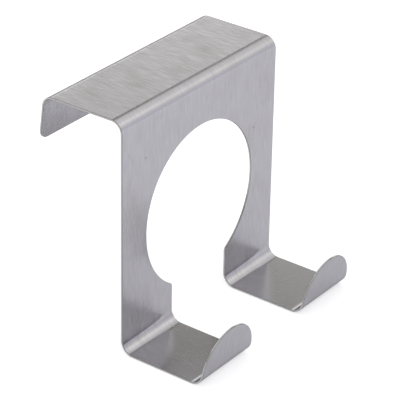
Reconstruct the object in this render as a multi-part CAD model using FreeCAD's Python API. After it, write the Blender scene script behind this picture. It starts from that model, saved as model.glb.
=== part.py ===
import FreeCAD, Part
import math
import os

from FreeCAD import Vector

# An over door hook folded from one strip of stainless sheet. Its top and lip sit over the upper
# edge of a door. The front plate has a large round hole, and the gap below the hole parts the
# plate into two legs. Each leg turns forward into a tray and ends in a round-nosed tab.
# X runs across the door, the front faces -Y, +Z is up, and the origin is the middle of the top
# plate's underside, where the hook rests on the door. Lengths are millimetres, angles degrees.

# Driving dimensions
sheet = 0.8            # thickness of the sheet
door_gap = 37.4        # clear depth between front plate and lip, at the door's top edge
lip_length = 20.3      # lip, from the outside corner of its bend to its end
lip_splay = 7.3        # lean of the lip away from the door
lip_corner = 4.5       # radius of the lip's two free corners
hole_diameter = 69.8   # round hole in the front plate
side_web = 15.1        # sheet left on either side of the hole
crown = 19.2           # from the door's top edge down to the rim of the hole
leg_width = 32.0       # each of the two legs
leg_drop = 11.6        # from the lowest point of the hole down to the upper face of the trays
neck_corner = 2.0      # radius where the hole runs into the gap between the legs
tray_depth = 38.4      # clear depth of a tray, from front plate to tab
tab_foot = 3.9         # straight height of a tab, up to where its round nose starts
tab_lean = 7.7         # lean of the tabs away from the plate
door_bend = 4.5        # inside radius of the two bends over the door
tray_bend = 5.0        # inside radius of the bend between leg and tray
tip_bend = 5.4         # inside radius of the bend between tray and tab
overcut = 5.0          # how far every cutting tool reaches past the sheet
parallel = 0.999       # cosine from which two directions count as the same
closeness = 0.01       # distance within which two places count as the same

# Sizes that follow from them
plate_width = hole_diameter + 2 * side_web
leg_gap = plate_width - 2 * leg_width
leg_x = (plate_width - leg_width) / 2
front_y = -(door_gap / 2 + sheet)
back_y = door_gap / 2 + sheet
hole_z = -crown - hole_diameter / 2
tray_z = hole_z - hole_diameter / 2 - leg_drop
nose_radius = leg_width / 2


def up_and_forward(lean):
    """Unit vector along +Z, leaned towards -Y."""
    turn = math.radians(lean)
    return Vector(0, -math.sin(turn), math.cos(turn))


def fold_corners():
    """Sharp corners of the strip's upper and front side, from the lip's end to the tab's end."""
    back_top = Vector(0, back_y, sheet)
    front_top = Vector(0, front_y, sheet)
    tray_root = Vector(0, front_y, tray_z)
    tray_tip = Vector(0, front_y - tray_depth, tray_z)
    lip_end = back_top - up_and_forward(lip_splay) * lip_length
    tab_end = tray_tip + up_and_forward(tab_lean) * (tab_foot + nose_radius)
    return [lip_end, back_top, front_top, tray_root, tray_tip, tab_end]


def bend_arc(before, corner, after, radius):
    """Start, middle and end of the arc that rounds one corner."""
    to_before = (before - corner).normalize()
    to_after = (after - corner).normalize()
    half_angle = to_before.getAngle(to_after) / 2
    setback = radius / math.tan(half_angle)
    rise = radius / math.sin(half_angle) - radius
    middle = corner + (to_before + to_after).normalize() * rise
    return corner + to_before * setback, middle, corner + to_after * setback


def side_path():
    """Upper and front side of the strip as one tangent wire of flats and bends."""
    corners = fold_corners()
    radii = [door_bend + sheet, door_bend + sheet, tray_bend, tip_bend]
    edges = []
    flat_start = corners[0]
    for before, corner, after, radius in zip(corners, corners[1:], corners[2:], radii):
        start, middle, end = bend_arc(before, corner, after, radius)
        edges.append(Part.LineSegment(flat_start, start).toShape())
        edges.append(Part.Arc(start, middle, end).toShape())
        flat_start = end
    edges.append(Part.LineSegment(flat_start, corners[-1]).toShape())
    return Part.Wire(edges)


def folded_strip():
    """The whole strip at full width, before any cut-out."""
    section = side_path().makeOffset2D(-sheet, join=0, fill=True, openResult=True)
    section.translate(Vector(-plate_width / 2, 0, 0))
    return section.extrude(Vector(plate_width, 0, 0))


def edges_along(solid, axis, is_wanted):
    """Edges of a solid that run along an axis and whose middle point is wanted."""
    found = []
    for edge in solid.Edges:
        tangent = edge.tangentAt(edge.FirstParameter)
        if abs(tangent.dot(axis)) > parallel and is_wanted(edge.CenterOfMass):
            found.append(edge)
    return found


def round_lip_corners(strip):
    """Round the two free corners of the lip."""
    lip_end = fold_corners()[0]
    through_lip = up_and_forward(lip_splay).cross(Vector(1, 0, 0))

    def is_lip_end(middle):
        return middle.y > 0 and abs(middle.z - lip_end.z) < sheet

    return strip.makeFillet(lip_corner, edges_along(strip, through_lip, is_lip_end))


def keyhole():
    """Cutting tool for the round hole and the gap between the legs."""
    tray_tip, tab_end = fold_corners()[-2:]
    start_y = tab_end.y - sheet - overcut
    depth = front_y + sheet + overcut - start_y
    backward = Vector(0, 1, 0)
    hole = Part.makeCylinder(hole_diameter / 2, depth, Vector(0, start_y, hole_z), backward)
    gap_height = hole_z - tray_tip.z + sheet + overcut
    gap_corner = Vector(-leg_gap / 2, start_y, hole_z - gap_height)
    gap = Part.makeBox(leg_gap, depth, gap_height, gap_corner)
    tool = hole.fuse(gap).removeSplitter()

    def is_neck(middle):
        return abs(abs(middle.x) - leg_gap / 2) < closeness and middle.z > tray_z

    return tool.makeFillet(neck_corner, edges_along(tool, backward, is_neck))


def nose_waste(middle_x):
    """Cutting tool for what lies outside the round nose of one tab."""
    tab_end = fold_corners()[-1]
    along = up_and_forward(tab_lean)
    through_tab = along.cross(Vector(1, 0, 0))
    start = tab_end - along * nose_radius - through_tab * overcut + Vector(middle_x, 0, 0)
    depth = sheet + 2 * overcut
    nose = Part.makeCylinder(nose_radius, depth, start, through_tab)
    side = Vector(nose_radius + overcut, 0, 0)
    top = along * (nose_radius + overcut)
    corners = [start - side, start + side, start + side + top, start - side + top, start - side]
    block = Part.Face(Part.makePolygon(corners)).extrude(through_tab * depth)
    return block.cut(nose)


def door_hook():
    """The finished hook, one folded sheet."""
    hook = round_lip_corners(folded_strip()).cut(keyhole())
    for middle_x in (-leg_x, leg_x):
        hook = hook.cut(nose_waste(middle_x))
    return hook.Solids[0]


os.makedirs("parts", exist_ok=True)
door_hook().exportStep("parts/door_hook.step")
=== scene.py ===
import math
from collections import namedtuple

import bmesh
import bpy
from mathutils import Matrix, Vector


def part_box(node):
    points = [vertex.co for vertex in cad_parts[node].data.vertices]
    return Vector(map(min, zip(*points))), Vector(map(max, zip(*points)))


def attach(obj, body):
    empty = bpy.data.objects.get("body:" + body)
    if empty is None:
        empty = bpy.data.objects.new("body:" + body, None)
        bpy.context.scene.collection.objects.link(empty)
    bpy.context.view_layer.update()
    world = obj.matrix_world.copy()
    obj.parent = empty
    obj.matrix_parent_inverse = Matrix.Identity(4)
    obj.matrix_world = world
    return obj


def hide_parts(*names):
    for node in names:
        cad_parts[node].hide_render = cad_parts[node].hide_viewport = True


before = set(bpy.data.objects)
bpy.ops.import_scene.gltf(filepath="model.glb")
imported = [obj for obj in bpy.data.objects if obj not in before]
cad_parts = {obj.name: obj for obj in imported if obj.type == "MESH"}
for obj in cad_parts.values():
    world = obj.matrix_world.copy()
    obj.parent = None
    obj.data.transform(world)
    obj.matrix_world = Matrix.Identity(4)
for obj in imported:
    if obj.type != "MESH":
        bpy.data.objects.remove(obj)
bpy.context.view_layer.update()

# An over door hook: one strip of brushed stainless sheet, cut flat and then folded over a door.
# X runs across the door, the front faces -Y, +Z is up. Lengths are metres, angles degrees.
mm = 0.001

# Sizes that the frame's box gives
low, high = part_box("door_hook")
sheet = high.z                        # thickness: the origin is on the top plate's underside
plate_width = high.x - low.x
tray_z = low.z + sheet                # upper face of the trays

# Sizes of the cut blank
lip_length = 20.3 * mm                # from the outside corner of its bend to its end
lip_corner = 4.5 * mm
hole_radius = 34.9 * mm
crown = 19.2 * mm                     # from the door's top edge down to the rim of the hole
leg_width = 32.0 * mm
neck_corner = 2.0 * mm                # where the hole runs into the gap between the legs
tray_depth = 38.4 * mm
tab_foot = 3.9 * mm                   # from the tab's sharp corner up to where its round nose starts
leg_x = (plate_width - leg_width) / 2
leg_inner_x = plate_width / 2 - leg_width

# The folds, with radii on the sheet's upper and front side
door_gap = 37.4 * mm
outer_depth = door_gap + 2 * sheet
door_bend = 4.5 * mm + sheet
tray_bend = 5.0 * mm
tip_bend = 5.4 * mm
square_turn = 90                      # top plate into front plate, and leg into tray
lip_turn = square_turn - 7.3          # the lip splays 7.3 degrees away from the door
tab_turn = square_turn - 7.7          # the tabs lean 7.7 degrees forward
slices = 24                           # flats that make up one bend

# How finely the sheet is made
arc_step = 4.0                        # degrees between the points of a round outline
fewest_steps = 3                      # in a short arc
deburr = 0.12 * mm                    # rounding of every cut edge
deburr_steps = 3
sharp_angle = 60                      # an edge that turns by more than this was cut, not folded
flatness = 100                        # how fully the large faces decide the shading
tiny = 0.001 * mm

# Places in the hook's list of materials
cut_slot = 1
rim_slot = 2

# The sheet's faces, from the dark to the light lines of their grain
steel_dark = (0.44, 0.43, 0.465)
steel_light = (0.525, 0.515, 0.555)
roughness_dark = 0.29
roughness_light = 0.19
darkest_noise = 0.3                   # noise at and below this is fully dark
lightest_noise = 0.7
grazing_tint = (0.6, 0.6, 0.6)        # how much steel reflects where it is seen edge on
brushing = 0.7                        # how far highlights are drawn out across the lines
grain_depth = 0.004 * mm
grain_strength = 0.25

# The bare edges of the sheet: colour and roughness in the nicks and between them
Edge = namedtuple("Edge", "dark light smooth rough")
cut_finish = Edge((0.42, 0.415, 0.415), (0.56, 0.555, 0.555), 0.22, 0.34)
# The rims' near-black colour is painted shade: it stands in for the dark line along the cut edges.
rim_painted_shade = Edge((0.12, 0.12, 0.12), (0.22, 0.22, 0.22), 0.22, 0.34)
nick_depth = 0.01 * mm
nick_strength = 0.2

# Kinds of marks: width across the strip, length along it, and how broken up they are
Mark = namedtuple("Mark", "width length detail")
grain_line = Mark(0.6 * mm, 10 * mm, 1.0)
hairline = Mark(0.33 * mm, 5 * mm, 1.0)
band = Mark(4 * mm, 40 * mm, 1.0)
broad_smudge = Mark(16 * mm, 22 * mm, 1.0)
soft_smudge = Mark(6 * mm, 12 * mm, 0.5)
nick = Mark(0.5 * mm, 0.5 * mm, 2.0)
hairline_share = 0.45                 # of the grain, the rest is lines
band_share = 0.1                      # of the whole tone

# Smudges, stains and pits
steel_smudged = (0.41, 0.39, 0.395)
smudge_cover = 0.4                    # how much of the steel's colour a smudge hides
smudge_roughness = 0.03               # what a smudge adds
soft_smudge_share = 0.35
smudge_from = 0.5                     # cloudiness where a smudge starts to show
smudge_full = 0.75
stain_cloud = 0.2                     # what a stain adds to the cloudiness
steel_pit = (0.12, 0.12, 0.12)
pit_cover = 0.6
pit_core = 0.3                        # share of a pit's radius that is fully dark

# Pits in the front plate
Pit = namedtuple("Pit", "across height radius")
front_pits = (
    Pit(35.7 * mm, -34.5 * mm, 0.6 * mm),
    Pit(-35.5 * mm, -19.7 * mm, 0.65 * mm),
)

# Faint dark stains, placed along the blank from the middle of the top plate
Stain = namedtuple("Stain", "across along radius")
stains = (
    Stain(-21 * mm, -5 * mm, 12 * mm),
    Stain(-41 * mm, -62 * mm, 9 * mm),
    Stain(-39 * mm, 32 * mm, 8 * mm),
)

# The studio. A colour of 1 is as bright as white paper.
floor_half_size = 6.0
floor_colour = (0.755, 0.76, 0.79)
floor_roughness = 0.9
floor_whitening = 0.52                # makes up the rest to white
reflected_whitening = 0.33            # the same, as the steel sees it
wall_colour = (1.03, 1.03, 0.975)
ceiling_colour = (0.95, 0.95, 0.95)
wall_until = 50                       # elevation where the wall starts to fade into the ceiling
ceiling_from = 75

# Panels that hang round the hook. Azimuth 0 is +X and 90 is +Y. The half sizes run from a panel's
# middle to the middle of its soft border, and the soft sizes are half of that border.
Panel = namedtuple("Panel", "colour azimuth elevation half_width half_height soft_sides soft_ends")
card_above_back_panel = Panel(
    (0.05, 0.035, 0.0), azimuth=47, elevation=37,
    half_width=27, half_height=8, soft_sides=16, soft_ends=3.5)
back_panel = Panel(
    (1.9, 1.9, 1.8), azimuth=36, elevation=17,
    half_width=25, half_height=9.3, soft_sides=8, soft_ends=5)
low_front_panel = Panel(
    (0.87, 0.87, 0.94), azimuth=-50, elevation=5,
    half_width=22, half_height=9, soft_sides=8, soft_ends=8)
high_front_panel = Panel(
    (1.5, 1.5, 1.4), azimuth=-38, elevation=40,
    half_width=9, half_height=14, soft_sides=9, soft_ends=8)
dim_side_near_camera = Panel(
    (0.4, 0.4, 0.4), azimuth=-107, elevation=33,
    half_width=45, half_height=18, soft_sides=12, soft_ends=12)
card_beside_hole = Panel(
    (0.18, 0.18, 0.18), azimuth=148, elevation=19,
    half_width=8, half_height=21, soft_sides=4, soft_ends=8)
card_below_back_panel = Panel(
    (0.2, 0.2, 0.2), azimuth=45, elevation=2,
    half_width=18, half_height=7, soft_sides=8, soft_ends=3)

# Each panel covers the ones before it where they meet
studio_panels = (
    card_above_back_panel,            # the dark line where the top plate meets its front bend
    back_panel,                       # the light on the top plate and the trays
    low_front_panel,
    high_front_panel,                 # the highlight along the front bend
    dim_side_near_camera,
    card_beside_hole,                 # the dark line in the lower right edge of the hole
    card_below_back_panel,            # the outline of the back bend
)

# The camera, as seen from the middle of the view
look_at = Vector((3.6, -16.7, -55.7)) * mm
camera_distance = 876.9 * mm
camera_azimuth = -53.5                # from the front, towards -X
camera_elevation = 28.66
camera_roll = -1.06
camera_lens = 195.0                   # millimetres, as is the sensor
camera_sensor = 36.0


def setback(radius, turn):
    """Length of flat that one side of a bend takes up, measured from the sharp corner."""
    return radius * math.tan(math.radians(turn) / 2)


class Bend:
    """One fold across the blank, made of narrow flats. The blank runs back to front along Y."""

    def __init__(self, start, side, radius, turn):
        self.start = start
        self.side = side              # +1 folds what lies behind the start, -1 what lies before it
        self.step = math.radians(turn) / slices
        self.chord = 2 * radius * math.sin(abs(self.step) / 2)
        self.end = start + side * slices * self.chord

    def creases(self):
        """Each crease line's place on the blank and the angle it turns by, the farthest first."""
        lines = []
        for number in range(slices, -1, -1):
            share = 0.5 if number in (0, slices) else 1.0
            place = self.start + self.side * number * self.chord
            lines.append((place, -self.side * share * self.step))
        return lines


def lay_out_bends():
    """The bends on the blank, with the top plate already in place. A positive turn folds down."""
    top_back = outer_depth / 2 - setback(door_bend, lip_turn)
    top_front = -outer_depth / 2 + setback(door_bend, square_turn)
    front_flat = sheet - tray_z - setback(door_bend, square_turn) - setback(tray_bend, square_turn)
    tray_flat = tray_depth - setback(tray_bend, square_turn) - setback(tip_bend, tab_turn)
    over_back = Bend(top_back, 1, door_bend, lip_turn)
    over_front = Bend(top_front, -1, door_bend, square_turn)
    into_tray = Bend(over_front.end - front_flat, -1, tray_bend, -square_turn)
    into_tab = Bend(into_tray.end - tray_flat, -1, tip_bend, -tab_turn)
    return over_back, over_front, into_tray, into_tab


def blank_y_of_front(height):
    """Place along the flat blank of a point at a given height on the front plate."""
    over_front = lay_out_bends()[1]
    return over_front.end + height - (sheet - setback(door_bend, square_turn))


def arc_to(blank, corner, centre, turn):
    """Carry the outline on from a point, along an arc about a centre, and return its last point."""
    steps = max(fewest_steps, round(abs(turn) / arc_step))
    pivot = (centre[0], centre[1], corner.co.z)
    spun = bmesh.ops.spin(blank, geom=[corner], cent=pivot, axis=(0, 0, 1),
                          angle=math.radians(turn), steps=steps)
    return [part for part in spun["geom_last"] if isinstance(part, bmesh.types.BMVert)][0]


def line_to(blank, corner, x, y):
    """Carry the outline on from a point along a straight edge, and return its last point."""
    end = blank.verts.new((x, y, corner.co.z))
    blank.edges.new((corner, end))
    return end


def half_blank(bends):
    """The right half of the cut blank, lying flat at the top plate's height."""
    over_back, over_front, into_tray, into_tab = bends
    half_width = plate_width / 2
    lip_end = over_back.end + lip_length - setback(door_bend, lip_turn)
    hole_y = blank_y_of_front(-crown - hole_radius)
    nose_y = into_tab.end - (tab_foot - setback(tip_bend, tab_turn))
    neck_x = leg_inner_x + neck_corner
    neck_drop = math.sqrt((hole_radius + neck_corner) ** 2 - neck_x ** 2)
    neck_turn = math.degrees(math.atan2(neck_drop, neck_x))

    blank = bmesh.new()
    start = blank.verts.new((0, lip_end, sheet))
    pen = line_to(blank, start, half_width - lip_corner, lip_end)
    pen = arc_to(blank, pen, (half_width - lip_corner, lip_end - lip_corner), -90)
    pen = line_to(blank, pen, half_width, nose_y)
    pen = arc_to(blank, pen, (leg_x, nose_y), -180)
    pen = line_to(blank, pen, leg_inner_x, hole_y - neck_drop)
    pen = arc_to(blank, pen, (neck_x, hole_y - neck_drop), -neck_turn)
    pen = arc_to(blank, pen, (0, hole_y), neck_turn + 90)
    blank.edges.new((pen, start))
    bmesh.ops.contextual_create(blank, geom=blank.edges[:])
    return blank


def all_parts(mesh):
    """Every point, edge and face of a mesh."""
    return mesh.verts[:] + mesh.edges[:] + mesh.faces[:]


def score(blank, bends):
    """Cut the blank across at every crease line."""
    for bend in bends:
        for place, _ in bend.creases():
            bmesh.ops.bisect_plane(blank, geom=all_parts(blank), dist=tiny,
                                   plane_co=(0, place, 0), plane_no=(0, 1, 0))


def keep_blank_as_uv(blank):
    """Keep each point's place on the flat blank, where the sheet was brushed, as a UV map."""
    layer = blank.loops.layers.uv.new("blank")
    for face in blank.faces:
        for loop in face.loops:
            loop[layer].uv = loop.vert.co.xy


def whole_blank(bends):
    """The blank from side to side, scored at its bends and face up."""
    blank = half_blank(bends)
    score(blank, bends)
    bmesh.ops.mirror(blank, geom=all_parts(blank), matrix=Matrix(), merge_dist=tiny, axis="X")
    bmesh.ops.recalc_face_normals(blank, faces=blank.faces[:])
    blank.normal_update()
    if sum(face.normal.z for face in blank.faces) < 0:
        bmesh.ops.reverse_faces(blank, faces=blank.faces[:])
    keep_blank_as_uv(blank)
    return blank


def fold(blank, flat_place, bend):
    """Turn all that lies past each crease line of one bend."""
    for place, turn in bend.creases():
        past = [v for v in blank.verts if bend.side * (v[flat_place] - place) > tiny]
        bmesh.ops.rotate(blank, verts=past, cent=(0, place, sheet),
                         matrix=Matrix.Rotation(turn, 3, "X"))


def fold_all(blank, bends):
    """Fold the blank at every bend, from its ends towards the top plate."""
    flat_place = blank.verts.layers.float.new("flat_place")
    for point in blank.verts:
        point[flat_place] = point.co.y
    over_back, over_front, into_tray, into_tab = bends
    for bend in (into_tab, into_tray, over_front, over_back):
        fold(blank, flat_place, bend)
    blank.verts.layers.float.remove(flat_place)
    blank.normal_update()


def finish_edges(hook):
    """Round every cut edge, and give the cut faces and their rounded rims materials of their own.

    A cut face has only sharp edges and edges that are as short as the sheet is thick.
    """
    sharp = [edge for edge in hook.edges if edge.calc_face_angle() > math.radians(sharp_angle)]
    known_sharp = set(sharp)
    for face in hook.faces:
        if all(edge in known_sharp or abs(edge.calc_length() - sheet) < deburr for edge in face.edges):
            face.material_index = cut_slot
    rounded = bmesh.ops.bevel(hook, geom=sharp, offset=deburr, offset_type="OFFSET",
                              affect="EDGES", segments=deburr_steps, profile=0.5, material=-1)
    for face in rounded["faces"]:
        face.material_index = rim_slot


def folded_sheet():
    """The hook as one sheet: cut, scored, folded, thickened and deburred."""
    bends = lay_out_bends()
    hook = whole_blank(bends)
    fold_all(hook, bends)
    bmesh.ops.solidify(hook, geom=hook.faces[:], thickness=sheet)
    hook.normal_update()
    finish_edges(hook)
    return hook


def finished_piece(mesh, name, materials):
    """Turn a bmesh into an object at the origin."""
    data = bpy.data.meshes.new(name)
    mesh.to_mesh(data)
    mesh.free()
    for material in materials:
        data.materials.append(material)
    data.shade_smooth()
    piece = bpy.data.objects.new(name, data)
    bpy.context.scene.collection.objects.link(piece)
    return piece


def add_node(tree, kind, **settings):
    """A new shader node with some of its settings."""
    node = tree.nodes.new("ShaderNode" + kind)
    for name, value in settings.items():
        setattr(node, name, value)
    return node


def feed(tree, socket, value):
    """Set a socket to a plain value or an RGB colour, or link it to another node's output."""
    if isinstance(value, bpy.types.NodeSocket):
        tree.links.new(value, socket)
    elif socket.type == "RGBA":
        socket.default_value = (*value, 1)
    else:
        socket.default_value = value


def calculate(tree, operation, *values):
    """The result of a Math node."""
    node = add_node(tree, "Math", operation=operation)
    for socket, value in zip(node.inputs, values):
        feed(tree, socket, value)
    return node.outputs["Value"]


def spread(tree, value, from_low, from_high, to_low, to_high, **settings):
    """A value carried from one range to another, and kept inside that one."""
    node = add_node(tree, "MapRange", **settings)
    for socket, number in zip(node.inputs, (value, from_low, from_high, to_low, to_high)):
        feed(tree, socket, number)
    return node.outputs["Result"]


def soft_step(tree, value, full_until, none_from):
    """A mask that falls smoothly from 1 to 0."""
    return spread(tree, value, full_until, none_from, 1.0, 0.0, interpolation_type="SMOOTHSTEP")


def blend(tree, share, first, second, data_type="FLOAT"):
    """A value between two, by a share from 0 to 1."""
    node = add_node(tree, "Mix", data_type=data_type)
    sockets = [socket for socket in node.inputs if socket.enabled]
    for socket, value in zip(sockets, (share, first, second)):
        feed(tree, socket, value)
    return [socket for socket in node.outputs if socket.enabled][0]


def blend_colours(tree, share, first, second):
    """A colour between two, by a share from 0 to 1."""
    return blend(tree, share, first, second, "RGBA")


def marks_like(tree, place, mark):
    """Noise from 0 to 1 that is stretched to one kind of mark."""
    scaled = add_node(tree, "VectorMath", operation="MULTIPLY")
    feed(tree, scaled.inputs[0], place)
    feed(tree, scaled.inputs[1], (1 / mark.width, 1 / mark.length, 1))
    noise = add_node(tree, "TexNoise")
    feed(tree, noise.inputs["Vector"], scaled.outputs["Vector"])
    feed(tree, noise.inputs["Scale"], 1)
    feed(tree, noise.inputs["Detail"], mark.detail)
    return noise.outputs["Fac"]


def spot(tree, place, across, along, core, radius):
    """A mask for one soft round spot at a place on the flat blank."""
    apart = add_node(tree, "VectorMath", operation="DISTANCE")
    feed(tree, apart.inputs[0], place)
    feed(tree, apart.inputs[1], (across, along, 0))
    return spread(tree, apart.outputs["Value"], core, radius, 1.0, 0.0)


def raised(tree, height, strength, depth):
    """The surface's normals, with its fine relief worked in."""
    bump = add_node(tree, "Bump")
    feed(tree, bump.inputs["Height"], height)
    feed(tree, bump.inputs["Strength"], strength)
    feed(tree, bump.inputs["Distance"], depth)
    return bump.outputs["Normal"]


def new_group(name, inputs, outputs):
    """An empty shader node group with float sockets, and what goes into it and comes out of it."""
    tree = bpy.data.node_groups.new(name, "ShaderNodeTree")
    for label in inputs:
        tree.interface.new_socket(label, in_out="INPUT", socket_type="NodeSocketFloat")
    for label in outputs:
        tree.interface.new_socket(label, in_out="OUTPUT", socket_type="NodeSocketFloat")
    return tree, tree.nodes.new("NodeGroupInput").outputs, tree.nodes.new("NodeGroupOutput").inputs


def place_group(tree, group, values):
    """Put a node group into a material with its own values, and return its outputs."""
    node = add_node(tree, "Group", node_tree=group)
    for label, value in values.items():
        feed(tree, node.inputs[label], value)
    return node.outputs


def brushed_grain():
    """Lines left by the abrasive belt, all along the strip. They run on through the bends."""
    tree, given, made = new_group("brushed_grain", ["Band Share"], ["Tone", "Height"])
    place = add_node(tree, "UVMap", uv_map="blank").outputs["UV"]
    lines = marks_like(tree, place, grain_line)
    fine = blend(tree, hairline_share, lines, marks_like(tree, place, hairline))
    tone = blend(tree, given["Band Share"], fine, marks_like(tree, place, band))
    feed(tree, made["Tone"], tone)
    feed(tree, made["Height"], fine)
    return tree


def handling_marks():
    """Faint cloudy smudges and stains left by hands and polishing, and pits in the front plate."""
    tree, given, made = new_group("handling_marks", ["Smudge Level"], ["Smudge", "Pits"])
    place = add_node(tree, "UVMap", uv_map="blank").outputs["UV"]
    broad = marks_like(tree, place, broad_smudge)
    cloud = blend(tree, soft_smudge_share, broad, marks_like(tree, place, soft_smudge))
    for stain in stains:
        blot = spot(tree, place, stain.across, stain.along, 0.0, stain.radius)
        cloud = calculate(tree, "MULTIPLY_ADD", blot, stain_cloud, cloud)
    smudge = spread(tree, cloud, given["Smudge Level"], smudge_full, 0.0, 1.0)
    feed(tree, made["Smudge"], smudge)
    pits = 0.0
    for pit in front_pits:
        along = blank_y_of_front(pit.height)
        dot = spot(tree, place, pit.across, along, pit_core * pit.radius, pit.radius)
        pits = calculate(tree, "MAXIMUM", dot, pits)
    feed(tree, made["Pits"], pits)
    return tree


def edge_nicks():
    """Small nicks that cutting and tumbling leave in a bare edge, and the roughness they give it."""
    tree, given, made = new_group("edge_nicks", ["Smooth", "Rough"], ["Nicks", "Roughness"])
    nicks = marks_like(tree, add_node(tree, "TexCoord").outputs["Object"], nick)
    rough = spread(tree, nicks, darkest_noise, lightest_noise, given["Smooth"], given["Rough"])
    feed(tree, made["Nicks"], nicks)
    feed(tree, made["Roughness"], rough)
    return tree


def metal(name):
    """A new metal material, its tree and its shader."""
    material = bpy.data.materials.new(name)
    material.use_nodes = True
    tree = material.node_tree
    shader = tree.nodes["Principled BSDF"]
    feed(tree, shader.inputs["Metallic"], 1)
    feed(tree, shader.inputs["Specular Tint"], grazing_tint)
    return material, tree, shader


def brushed_steel(grain, marks):
    """The sheet's faces: stainless steel with a fine brushed finish, lightly handled."""
    material, tree, shader = metal("brushed_steel")
    across = add_node(tree, "Tangent", direction_type="UV_MAP", uv_map="blank")
    feed(tree, shader.inputs["Anisotropic"], brushing)
    feed(tree, shader.inputs["Tangent"], across.outputs["Tangent"])
    lines = place_group(tree, grain, {"Band Share": band_share})
    handled = place_group(tree, marks, {"Smudge Level": smudge_from})
    tone = spread(tree, lines["Tone"], darkest_noise, lightest_noise, 0.0, 1.0)
    clean = blend_colours(tree, tone, steel_dark, steel_light)
    dulling = calculate(tree, "MULTIPLY", handled["Smudge"], smudge_cover)
    dulled = blend_colours(tree, dulling, clean, steel_smudged)
    pitting = calculate(tree, "MULTIPLY", handled["Pits"], pit_cover)
    feed(tree, shader.inputs["Base Color"], blend_colours(tree, pitting, dulled, steel_pit))
    brushed = blend(tree, tone, roughness_dark, roughness_light)
    rough = calculate(tree, "MULTIPLY_ADD", handled["Smudge"], smudge_roughness, brushed)
    feed(tree, shader.inputs["Roughness"], rough)
    feed(tree, shader.inputs["Normal"], raised(tree, lines["Height"], grain_strength, grain_depth))
    return material


def bare_edge(name, nicks, finish):
    """A finish for the sheet's bare edges, marked with nicks."""
    material, tree, shader = metal(name)
    nicked = place_group(tree, nicks, {"Smooth": finish.smooth, "Rough": finish.rough})
    colour = blend_colours(tree, nicked["Nicks"], finish.dark, finish.light)
    feed(tree, shader.inputs["Base Color"], colour)
    feed(tree, shader.inputs["Roughness"], nicked["Roughness"])
    feed(tree, shader.inputs["Normal"], raised(tree, nicked["Nicks"], nick_strength, nick_depth))
    return material


def cut_edge(nicks):
    """The sheared edge of the sheet, about as bright as its faces."""
    return bare_edge("cut_edge", nicks, cut_finish)


def painted_shade_rim(nicks):
    """The narrow rounding along both sides of a cut edge, coloured near black as painted shade for the
    dark line along the edges.
    """
    return bare_edge("painted_shade_rim", nicks, rim_painted_shade)


def make_hook():
    """The folded and finished hook, in place of its plain solid."""
    nicks = edge_nicks()
    steel = brushed_steel(brushed_grain(), handling_marks())
    hook = finished_piece(folded_sheet(), "folded_hook", [steel, cut_edge(nicks), painted_shade_rim(nicks)])
    crisp = hook.modifiers.new("crisp_flats", "WEIGHTED_NORMAL")
    crisp.weight = flatness
    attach(hook, "root")
    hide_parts("door_hook")


def floor_paper():
    """Matt pale paper that is lifted to white for the camera and, partly, for the steel."""
    paper = bpy.data.materials.new("floor_paper")
    paper.use_nodes = True
    tree = paper.node_tree
    shader = tree.nodes["Principled BSDF"]
    feed(tree, shader.inputs["Base Color"], floor_colour)
    feed(tree, shader.inputs["Roughness"], floor_roughness)
    feed(tree, shader.inputs["Specular IOR Level"], 0)
    feed(tree, shader.inputs["Emission Color"], (1, 1, 1))
    ray = add_node(tree, "LightPath").outputs
    mirrored = calculate(tree, "MAXIMUM", ray["Is Glossy Ray"], ray["Is Transmission Ray"])
    lift = calculate(tree, "MULTIPLY", mirrored, reflected_whitening)
    lift = calculate(tree, "MULTIPLY_ADD", ray["Is Camera Ray"], floor_whitening, lift)
    feed(tree, shader.inputs["Emission Strength"], lift)
    return paper


def make_floor():
    """A pale floor at the lowest point of the trays. It shows white, with the hook's shadow."""
    sheet_of_paper = bmesh.new()
    bmesh.ops.create_grid(sheet_of_paper, x_segments=1, y_segments=1, size=floor_half_size)
    bmesh.ops.translate(sheet_of_paper, verts=sheet_of_paper.verts[:], vec=(0, 0, low.z))
    finished_piece(sheet_of_paper, "floor", [floor_paper()])


def make_camera():
    """The camera at the photograph's viewing angle."""
    turn = math.radians(camera_azimuth)
    rise = math.radians(camera_elevation)
    away = Vector((math.sin(turn) * math.cos(rise), -math.cos(turn) * math.cos(rise), math.sin(rise)))
    right = Vector((math.cos(turn), math.sin(turn), 0))
    axes = Matrix((right, away.cross(right), away)).transposed()
    roll = Matrix.Rotation(math.radians(-camera_roll), 3, "Z")
    lens = bpy.data.cameras.new("camera")
    lens.lens = camera_lens
    lens.sensor_width = camera_sensor
    camera = bpy.data.objects.new("camera", lens)
    camera.matrix_world = Matrix.Translation(look_at + away * camera_distance) @ (axes @ roll).to_4x4()
    bpy.context.scene.collection.objects.link(camera)
    bpy.context.scene.camera = camera


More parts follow.
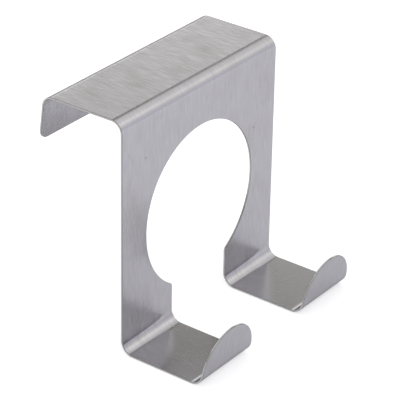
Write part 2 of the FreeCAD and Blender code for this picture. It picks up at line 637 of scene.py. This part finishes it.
def along_axis(tree, direction, axis):
    """The length of a direction along an axis."""
    node = add_node(tree, "VectorMath", operation="DOT_PRODUCT")
    feed(tree, node.inputs[0], direction)
    feed(tree, node.inputs[1], axis)
    return node.outputs["Value"]


def within(tree, aside, ahead, half_size, softness):
    """A mask for the directions that stay inside a panel along one of its two axes."""
    offset = calculate(tree, "ABSOLUTE", calculate(tree, "DIVIDE", aside, ahead))
    edge = math.tan(math.radians(half_size))
    fade = math.tan(math.radians(softness))
    return soft_step(tree, offset, edge - fade, edge + fade)


def panel_mask(tree, direction, panel):
    """A mask for one soft-edged panel of the studio."""
    turn = math.radians(panel.azimuth)
    rise = math.radians(panel.elevation)
    toward = Vector((math.cos(turn) * math.cos(rise), math.sin(turn) * math.cos(rise), math.sin(rise)))
    across = Vector((-math.sin(turn), math.cos(turn), 0))
    ahead = along_axis(tree, direction, toward)
    sideways = along_axis(tree, direction, across)
    upward = along_axis(tree, direction, toward.cross(across))
    in_width = within(tree, sideways, ahead, panel.half_width, panel.soft_sides)
    in_height = within(tree, upward, ahead, panel.half_height, panel.soft_ends)
    in_front = calculate(tree, "GREATER_THAN", ahead, 0.0)
    return calculate(tree, "MULTIPLY", in_front, calculate(tree, "MULTIPLY", in_width, in_height))


def make_light():
    """A softly lit white studio with a dimmer ceiling and a few lighter and darker panels."""
    world = bpy.data.worlds.new("studio")
    bpy.context.scene.world = world
    world.use_nodes = True
    tree = world.node_tree
    direction = add_node(tree, "TexCoord").outputs["Generated"]
    height = along_axis(tree, direction, (0, 0, 1))
    wall_top = math.sin(math.radians(wall_until))
    ceiling_edge = math.sin(math.radians(ceiling_from))
    wall = soft_step(tree, height, wall_top, ceiling_edge)
    studio = blend_colours(tree, wall, ceiling_colour, wall_colour)
    for panel in studio_panels:
        studio = blend_colours(tree, panel_mask(tree, direction, panel), studio, panel.colour)
    feed(tree, tree.nodes["Background"].inputs["Color"], studio)


bpy.context.scene.view_settings.view_transform = "Standard"
make_hook()
make_floor()
make_camera()
make_light()
